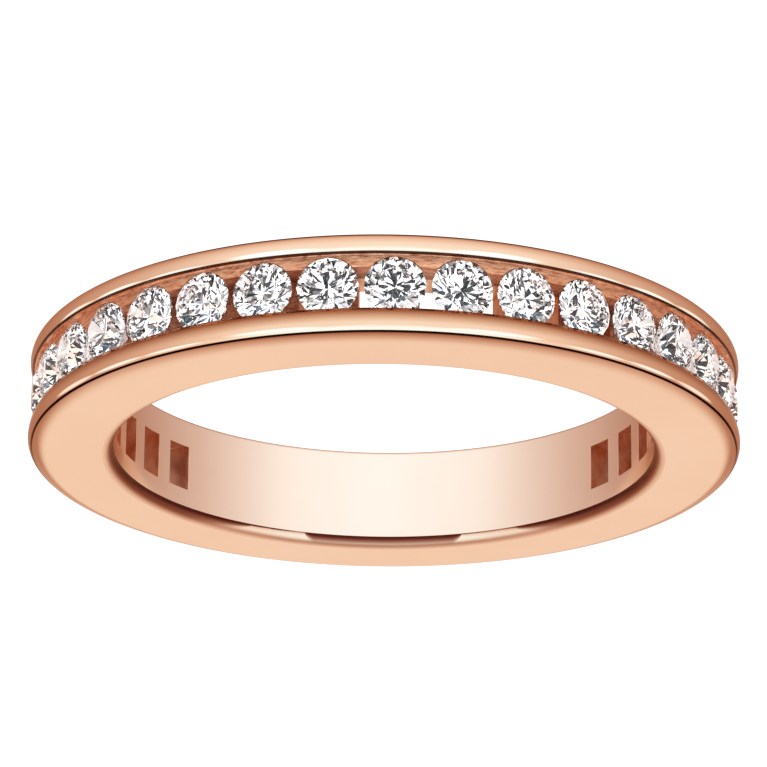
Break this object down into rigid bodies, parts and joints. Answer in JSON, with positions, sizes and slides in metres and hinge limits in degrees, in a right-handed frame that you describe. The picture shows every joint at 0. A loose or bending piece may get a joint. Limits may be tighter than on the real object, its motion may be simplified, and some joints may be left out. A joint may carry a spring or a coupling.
{
  "type": "channel-set wedding band",
  "caption": "Rose gold finger ring with a row of round brilliant stones held in a channel between two rounded rails, and an open window behind each stone.",
  "frame": {"origin": "centre of the finger bore, midway between the two side faces", "axes": "+Y along the bore's axis, +Z radially out through the middle of the row of stones, +X radially out to the side"},
  "size_m": [0.0222, 0.0034, 0.0222],
  "materials": {
    "rose_gold": "polished 14-karat rose gold",
    "diamond": "polished clear round brilliant"
  },
  "bodies": {
    "root": {"band": "rose_gold", "stone_01": "diamond", "stone_02": "diamond", "stone_03": "diamond", "stone_04": "diamond", "stone_05": "diamond", "stone_06": "diamond", "stone_07": "diamond", "stone_08": "diamond", "stone_09": "diamond", "stone_10": "diamond", "stone_11": "diamond", "stone_12": "diamond", "stone_13": "diamond", "stone_14": "diamond", "stone_15": "diamond", "stone_16": "diamond", "stone_17": "diamond", "stone_18": "diamond", "stone_19": "diamond", "stone_20": "diamond", "stone_21": "diamond", "stone_22": "diamond", "stone_23": "diamond", "stone_24": "diamond", "stone_25": "diamond"}
  },
  "joints": []
}
